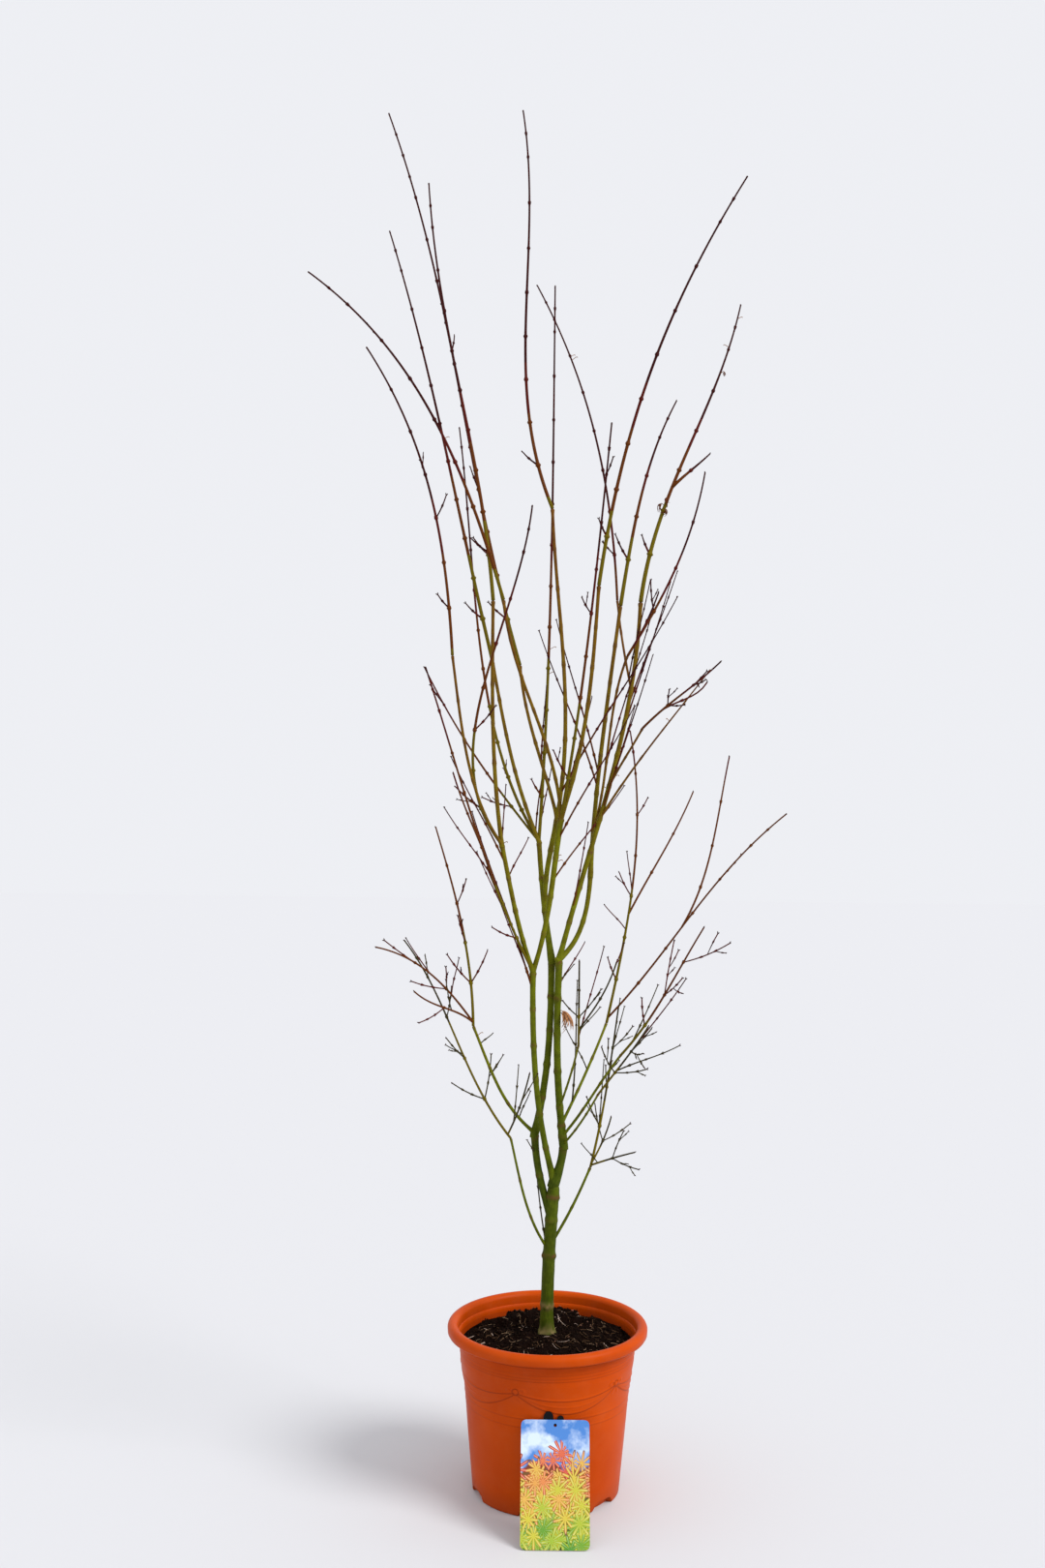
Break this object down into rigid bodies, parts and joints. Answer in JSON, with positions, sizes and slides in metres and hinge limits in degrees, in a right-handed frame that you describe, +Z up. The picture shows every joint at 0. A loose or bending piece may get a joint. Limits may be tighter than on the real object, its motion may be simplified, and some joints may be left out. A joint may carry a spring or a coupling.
{
  "type": "potted japanese maple tree",
  "caption": "Bare young Japanese maple of upright, many-stemmed habit, rooted in compost in a round rimmed plastic pot with a plant label leaning on it.",
  "frame": {"origin": "centre of the pot's flat underside, on the surface it stands on", "axes": "+Z up along the trunk, +X to the right, +Y away from the viewer; the plant label leans on the pot's -Y side"},
  "size_m": [0.7435, 0.5583, 2.2224],
  "materials": {
    "pot": "satin terracotta-coloured moulded plastic, slightly dusty",
    "compost": "near-black moist peat compost with pale fibres",
    "bark": "smooth satin green bark, olive and brown-red further out, darker at the nodes",
    "twigs": "thin satin maroon-brown shoots with paired buds",
    "label": "glossy printed plastic card with a plain leafy design",
    "clip": "black moulded plastic"
  },
  "bodies": {
    "root": {"pot": "pot", "compost": "compost", "trunk": "bark", "stem-left": "bark", "stem-right": "bark", "stem-middle": "bark", "left-upper-stem": "bark", "right-upper-stem": "bark", "low-left-limb": "bark", "low-right-limb": "bark", "left-bough": "bark", "right-bough": "bark", "front-right-bough": "bark", "low-front-bough": "bark", "inner-bough": "bark", "upper-left-bough": "bark", "heart-left-bough": "bark", "heart-bough": "bark", "heart-middle-bough": "bark", "heart-right-bough": "bark", "back-right-elbow": "bark", "back-right-bough": "bark", "left-leader": "bark", "outer-left-leader": "bark", "back-left-leader": "bark", "top-leader": "bark", "tall-right-leader": "bark", "tall-left-leader": "bark", "sweeping-left-leader": "bark", "crossing-leader": "bark", "front-right-leader": "bark", "right-side-bough": "bark", "right-side-shoot": "bark", "low-left-twigs": "twigs", "low-right-twigs": "twigs", "left-twigs": "twigs", "right-twigs": "twigs", "front-right-twigs": "twigs", "low-front-twigs": "twigs", "inner-twigs": "twigs", "left-front-twigs": "twigs", "left-leader-twigs": "twigs", "outer-left-twigs": "twigs", "upper-front-twigs": "twigs", "back-left-twigs": "twigs", "rear-left-twigs": "twigs", "rear-low-twigs": "twigs", "centre-twigs": "twigs", "top-twigs": "twigs", "tall-right-twigs": "twigs", "tall-left-twigs": "twigs", "sweeping-left-twigs": "twigs", "front-twigs": "twigs", "crossing-twigs": "twigs", "front-right-leader-twigs": "twigs", "right-side-twigs": "twigs", "heart-right-twigs": "twigs", "back-right-twigs": "twigs", "label": "label", "label-clip": "clip"}
  },
  "joints": []
}
